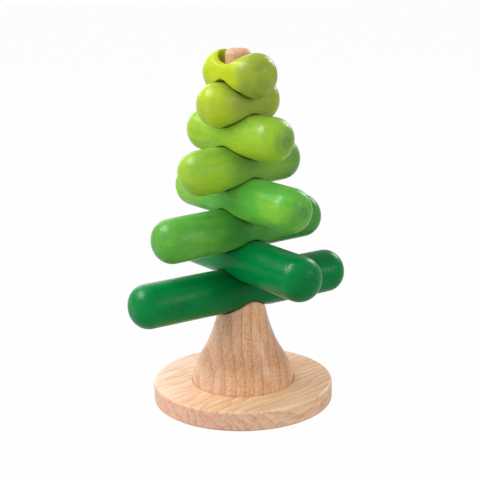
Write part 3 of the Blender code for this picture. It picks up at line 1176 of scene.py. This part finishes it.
@dataclass
class Stand:
    """The fixed pieces: base disc, trunk, rod and screws.

    Attributes:
        base_wood: The disc's finish.
        trunk_wood: The trunk's finish.
        rod_wood: The rod's finish.
        steel: The screws' finish.
        lowest_turn: The lowest branch's turn, which the trunk's crown follows, in degrees.
    """

    base_wood: ClearWood
    trunk_wood: ClearWood
    rod_wood: ClearWood
    steel: PlatedSteel
    lowest_turn: float
    branch_radius: float = BRANCH_RADIUS
    foot_radius: float = 35.3 * MM
    neck_radius: float = 15.1 * MM
    flare_height: float = 62.7 * MM
    flare_shares: tuple[float, ...] = (1.0, 0.829, 0.488, 0.239, 0.072, 0.0)
    trunk_rise: float = 54.9 * MM
    crown_rounding: float = 1.4 * MM
    notch_depth: float = NOTCH_DEPTH
    run_out: float = NOTCH_RUN_OUT
    bore_radius: float = 8.7 * MM
    bore_depth: float = 35.3 * MM
    rod_rounding: float = 3.6 * MM
    rod_chamfer: float = 1 * MM
    trunk_sides: int = 160
    flare_steps: int = 44
    corner_steps: int = 6
    crown_steps: int = 8
    rim_tries: int = 3
    rod_sides: int = 96
    rod_steps: int = 12

    def _flare_radius(self, height: float) -> float:
        """Return the trunk's radius at a height over the disc's top."""
        share = catmull_share(self.flare_shares, min(height / self.flare_height, 1.0))
        return self.neck_radius + (self.foot_radius - self.neck_radius) * share

    def _crown_height(self, crown: float, radius: float, angle: float) -> float:
        """Return the crown's height at one place, which follows the lowest branch's underside.

        Args:
            crown: The crown's height on the axis.
            radius: The place's distance from the axis.
            angle: Its angle round the axis.

        Returns:
            The height.
        """
        cut = SaddleCut(self.notch_depth, 0.0, self.branch_radius, self.run_out)
        turn = angle - math.radians(self.lowest_turn)
        along = np.array([radius * math.cos(turn)])
        across = np.array([radius * math.sin(turn)])
        waist = self.branch_radius - self.notch_depth
        return crown + waist - float(cut.height(along, across)[0])

    def _trunk_profile(self, angle: float, foot: float, disc_top: float) -> list[Point]:
        """Return the trunk's profile at one angle, from its foot over the crown into the bore.

        Args:
            angle: The angle round the axis.
            foot: The height of its underside.
            disc_top: The height of the disc's top.

        Returns:
            The points as (radius, height), from the axis to the axis.
        """
        crown = disc_top + self.trunk_rise
        rim = self._flare_radius(self.trunk_rise)
        # The rim's radius and its height depend on each other and settle in a few tries.
        for _ in range(self.rim_tries):
            rim = self._flare_radius(self._crown_height(crown, rim, angle) - disc_top)
        flare_top = self._crown_height(crown, rim, angle) - disc_top - self.crown_rounding
        points = [(0.0, foot), (self.foot_radius, foot)]
        for step in range(self.flare_steps + 1):
            height = flare_top * step / self.flare_steps
            points.append((self._flare_radius(height), disc_top + height))
        side_radius, side_height = points[-1]
        inner = rim - self.crown_rounding
        inner_height = self._crown_height(crown, inner, angle)
        for step in range(1, self.corner_steps):
            turn = QUARTER_TURN * step / self.corner_steps
            radius = inner + (side_radius - inner) * math.cos(turn)
            points.append((radius, side_height + (inner_height - side_height) * math.sin(turn)))
        for step in range(self.crown_steps + 1):
            radius = inner + (self.bore_radius - inner) * step / self.crown_steps
            points.append((radius, self._crown_height(crown, radius, angle)))
        floor = crown - self.bore_depth
        return points + [(self.bore_radius, floor), (0.0, floor)]

    def _build_trunk(self) -> bpy.types.Object:
        """Build the flared trunk with its saddle-shaped crown.

        Returns:
            The object.
        """
        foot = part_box("trunk")[0].z
        disc_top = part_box("base_disc")[1].z
        profiles = []
        for side in range(self.trunk_sides):
            angle = FULL_TURN * side / self.trunk_sides
            profiles.append(self._trunk_profile(angle, foot, disc_top))
        return skin_profiles("trunk_turned", np.array(profiles))

    def _build_rod(self) -> bpy.types.Object:
        """Build the rod with its rounded top.

        Returns:
            The object.
        """
        low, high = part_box("rod")
        radius = (high.x - low.x) / 2
        chamfer, rounding = self.rod_chamfer, self.rod_rounding
        points = [(0.0, low.z), (radius - chamfer, low.z), (radius, low.z + chamfer)]
        centre = radius - rounding
        points += arc(centre, high.z - rounding, rounding, (0.0, QUARTER_TURN), self.rod_steps)
        points += [(centre / 2, high.z), (0.0, high.z)]
        return skin_profiles("rod_turned", np.array([points] * self.rod_sides))

    def finish_off(self) -> None:
        """Build the trunk and rod, dress every fixed piece, and attach the trunk and rod."""
        trunk = self._build_trunk()
        rod = self._build_rod()
        for item, node, slot, finish in (
            (trunk, "trunk", "trunk_wood", self.trunk_wood),
            (rod, "rod", "rod_wood", self.rod_wood),
        ):
            dress(item, finish.material())
            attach(item, "stand")
            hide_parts(node)
            LOG.info("%s: %d faces", item.name, len(item.data.polygons))
        dress(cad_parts["base_disc"], self.base_wood.material())
        steel = self.steel.material()
        for node in ("screw_left", "screw_right"):
            dress(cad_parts[node], steel)
        LOG.info("base disc and screws dressed")


class LampRole(Enum):
    """What a lamp does."""

    FILL = "fill"
    SHEEN = "sheen"


@dataclass(frozen=True)
class Lamp:
    """A square soft light aimed at the tree.

    Attributes:
        name: Its name.
        place: Where it stands.
        size: Its side's length.
        energy: Its power in watts.
        role: Whether it lights the surfaces or shows as a highlight on them.
    """

    name: str
    place: tuple[float, float, float]
    size: float
    energy: float
    role: LampRole = LampRole.FILL

    def add(self, aim: Vector) -> None:
        """Add the lamp to the scene.

        Args:
            aim: The point that it is aimed at.
        """
        data = bpy.data.lights.new(self.name, "AREA")
        data.shape = "SQUARE"
        data.size = self.size
        data.energy = self.energy
        lamp = bpy.data.objects.new(self.name, data)
        lamp.visible_diffuse = self.role is LampRole.FILL
        lamp.visible_glossy = self.role is LampRole.SHEEN
        bpy.context.scene.collection.objects.link(lamp)
        place = Vector(self.place)
        turn = (aim - place).to_track_quat("-Z", "Y").to_matrix().to_4x4()
        lamp.matrix_world = Matrix.Translation(place) @ turn


@dataclass
class Studio:
    """The plain white floor, the soft lamps and the camera.

    Attributes:
        focal_pixels: The camera's focal length in the photo's pixels.
        camera_place: The camera's place in metres.
        pitch: How far it looks down, in radians.
        yaw: Its turn to the right.
        roll: Its tilt.
        mirror_share: How much of the white surroundings shows in reflections.
    """

    focal_pixels: float = 1312.15
    camera_place: tuple[float, float, float] = (0.0, -0.85571, 0.35034)
    pitch: float = 0.27018
    yaw: float = -0.00062
    roll: float = -0.0155
    nearest_seen: float = 0.01
    floor_size: float = 6.0
    floor_tone: float = 0.5
    floor_white_share: float = 0.975
    world_strength: float = 0.43
    mirror_share: float = 0.35
    lamp_aim: tuple[float, float, float] = (0.0, 0.0, 0.12)
    lamps: tuple[Lamp, ...] = (
        Lamp("left_lamp", (-1.17, -0.325, 0.587), 0.7, 6.6),
        Lamp("back_lamp", (-0.585, 0.65, 1.082), 0.7, 10.5),
        Lamp("right_lamp", (1.11, -0.52, 0.555), 0.7, 6.5),
        Lamp("overhead_lamp", (-0.59, -0.49, 1.168), 0.7, 5.6),
        Lamp("low_lamp", (-0.4, -1.25, 0.12), 0.5, 2.0),
        Lamp("key_sheen", (-0.736, 0.0, 0.948), 0.6, 20.0, LampRole.SHEEN),
        Lamp("rim_light", (-0.35, 0.95, 0.42), 0.5, 1.6, LampRole.SHEEN),
        Lamp("side_sheen", (0.983, -0.466, 0.505), 0.3, 2.0, LampRole.SHEEN),
        Lamp("back_sheen", (0.78, 1.1, 0.68), 0.5, 7.0, LampRole.SHEEN),
    )

    def _add_camera(self) -> None:
        """Add the camera at the photo's viewpoint."""
        forward = Vector(
            (
                math.sin(self.yaw) * math.cos(self.pitch),
                math.cos(self.yaw) * math.cos(self.pitch),
                -math.sin(self.pitch),
            )
        )
        right = Vector((math.cos(self.yaw), -math.sin(self.yaw), 0.0))
        up = right.cross(forward)
        tilted_right = right * math.cos(self.roll) + up * math.sin(self.roll)
        tilted_up = up * math.cos(self.roll) - right * math.sin(self.roll)
        data = bpy.data.cameras.new("photo_camera")
        data.sensor_width = SENSOR_WIDTH
        data.lens = SENSOR_WIDTH * self.focal_pixels / PHOTO_PIXELS
        data.clip_start = self.nearest_seen
        camera = bpy.data.objects.new("photo_camera", data)
        bpy.context.scene.collection.objects.link(camera)
        turn = Matrix((tilted_right, tilted_up, -forward)).transposed().to_4x4()
        camera.matrix_world = Matrix.Translation(self.camera_place) @ turn
        bpy.context.scene.camera = camera

    def _seen_directly(self, recipe: Recipe) -> ShaderValue:
        """Return how fully a ray sees the white surroundings.

        Args:
            recipe: The recipe of the floor's or the world's nodes.

        Returns:
            1 for camera and clear rays, a share for mirror rays, else 0.
        """
        path = recipe.node("ShaderNodeLightPath")
        mirrored = recipe.value(path, "Is Glossy Ray") * self.mirror_share
        seen = recipe.value(path, "Is Camera Ray") + mirrored
        return (seen + recipe.value(path, "Is Transmission Ray")).above(0.0, 1.0)

    def _add_floor(self) -> None:
        """Add the white floor, which keeps a faint shadow."""
        half = self.floor_size / 2
        sides = ((-half, -half), (half, -half), (half, half), (-half, half))
        corners = np.array([(x, y, 0.0) for x, y in sides])
        floor = add_mesh("floor", corners, [(0, 1, 2, 3)])
        floor.location.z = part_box("base_disc")[0].z
        material, recipe = new_material("white_floor")
        shade = (self.floor_tone, self.floor_tone, self.floor_tone, 1.0)
        matte = recipe.node("ShaderNodeBsdfDiffuse", {}, {"Color": shade})
        glow = recipe.node("ShaderNodeEmission", {}, {"Color": WHITE, "Strength": 1.0})
        factor = self._seen_directly(recipe) * self.floor_white_share
        mixed = recipe.node(
            "ShaderNodeMixShader", {}, {0: factor, 1: matte.outputs[0], 2: glow.outputs[0]}
        )
        recipe.node("ShaderNodeOutputMaterial", {}, {"Surface": mixed.outputs[0]})
        dress(floor, material)

    def _set_world(self) -> None:
        """Light the scene evenly and show white behind the object."""
        world = bpy.data.worlds.new("studio")
        world.use_nodes = True
        recipe = Recipe(world.node_tree)
        seen = self._seen_directly(recipe)
        strength = seen * (1 - self.world_strength) + self.world_strength
        light = recipe.node(
            "ShaderNodeBackground", {}, {"Color": WHITE, "Strength": strength}
        )
        recipe.node("ShaderNodeOutputWorld", {}, {"Surface": light.outputs[0]})
        bpy.context.scene.world = world

    def set_up(self) -> None:
        """Add floor, world, lamps and camera."""
        self._add_floor()
        self._set_world()
        for lamp in self.lamps:
            lamp.add(Vector(self.lamp_aim))
        self._add_camera()
        view = bpy.context.scene.view_settings
        view.view_transform = "Standard"
        LOG.info("studio ready")


# From the top branch down: lengths and offsets along the branch in metres, turns in degrees.
LENGTHS = (0.0560, 0.0590, 0.0862, 0.0956, 0.1262, 0.1324, 0.1480, 0.1667)
TURNS = (-50.0, 38.0, -46.0, 40.5, -52.0, 36.0, -54.0, 32.0)
OFFSETS = (0.0014, -0.0003, 0.0003, 0.0004, 0.0011, -0.0017, 0.0020, -0.0013)
# Each row is a name, the stain, glow and deep tones, and how much of the deep tone the waist,
# the right end and its small flat take. The glow at the left end is partly painted light and
# the deep tone at the waist and right end partly painted shade. The top one's right end also
# has its own start.
PALETTE = (
    ("yellow_green", tone(192, 207, 34), tone(172, 192, 32), tone(134, 154, 60), 0, 0.75, 0, 0.32),
    ("olive_lime", tone(160, 181, 52), tone(176, 199, 42), tone(136, 150, 66), 0.7, 0.0, 0.0),
    ("lime", tone(150, 194, 52), tone(168, 202, 40), tone(92, 136, 66), 0.0, 0.05, 0.75),
    ("leaf", tone(140, 186, 56), tone(152, 192, 48), tone(96, 142, 66), 0.65, 0.6, 0.0),
    ("grass", tone(96, 182, 64), tone(144, 198, 54), tone(70, 136, 64), 0.1, 0.12, 0.6),
    ("mid_green", tone(72, 150, 62), tone(104, 176, 60), tone(62, 134, 62), 0.4, 0.7, 0.0),
    ("deep_green", tone(0, 129, 62), tone(2, 138, 68), tone(0, 104, 52), 0.1, 0.25, 0.4),
    ("dark_green", tone(0, 118, 56), tone(2, 128, 62), tone(0, 88, 42), 0.5, 0.0, 0.15),
)


def main() -> None:
    """Build the dressed tree and the studio round it."""
    logging.basicConfig(level=logging.INFO, format="%(message)s")
    stand = Stand(
        base_wood=ClearWood(
            "base_wood_clear",
            tone(243, 202, 158),
            tone(198, 128, 76),
            tone(242, 214, 190),
            tone(190, 130, 96),
            tone(231, 187, 164),
            Vector((1.0, 1.0, 0.04)),
            Vector((-0.064, 0.064, -0.08)),
            ring_pitch=6 * MM,
            ring_share=0.16,
            ring_strength=0.37,
            fade_strength=0.16,
            wander=12 * MM,
            clouds=Figure(20 * MM, 50 * MM, 1.0),
            ripple=0.6 * MM,
            fibres=Figure(0.9 * MM, 30 * MM, 3.0),
            band_strength=0.42,
            fibre_strength=0.3,
            fleck_strength=0.2,
            # Painted sheen on the base's lit back-left top.
            painted_sheen_span=(0.1, 0.15),
            painted_sheen_strength=0.6,
        ),
        trunk_wood=ClearWood(
            "trunk_wood_clear",
            tone(228, 177, 125),
            tone(176, 106, 56),
            tone(242, 208, 182),
            tone(174, 104, 62),
            tone(194, 146, 106),
            Vector((0.07, 0.0, 1.0)),
            Vector((-0.25, -0.08, 0.0)),
            ring_pitch=6.5 * MM,
            ring_share=0.1,
            ring_strength=0.8,
            fade_strength=0.2,
            wander=2.5 * MM,
            band_strength=0.3,
            fibre_strength=0.25,
            end_span=(0.1, 0.7),
            fleck_strength=0.3,
            # Painted sheen on the trunk's lit left side.
            painted_sheen_span=(0.235, 0.262),
            painted_sheen_strength=0.6,
            coat_weight=0.45,
        ),
        rod_wood=ClearWood(
            "rod_wood_clear",
            tone(206, 158, 118),
            tone(186, 130, 92),
            tone(224, 184, 156),
            tone(180, 126, 94),
            tone(212, 166, 128),
            Vector((0.0, 0.0, 1.0)),
            Vector((0.1, 0.03, 0.0)),
            ring_pitch=5 * MM,
            ring_strength=0.35,
            fleck_strength=0.2,
            coat_weight=0.0,
        ),
        steel=PlatedSteel("zinc_steel", tone(196, 196, 198), tone(150, 150, 154)),
        lowest_turn=TURNS[-1],
    )
    stand.finish_off()
    stains = []
    for index, (name, stain, glow, deep, *shares) in enumerate(PALETTE):
        half = LENGTHS[index] / 2
        stains.append(StainedWood(name + "_stain", stain, glow, deep, index + 1.0, half, *shares))
    stack = BranchStack(BRANCH_RADIUS, LENGTHS, TURNS, OFFSETS, tuple(stains))
    stack.finish_off()
    Studio().set_up()


if __name__ == "__main__":
    main()
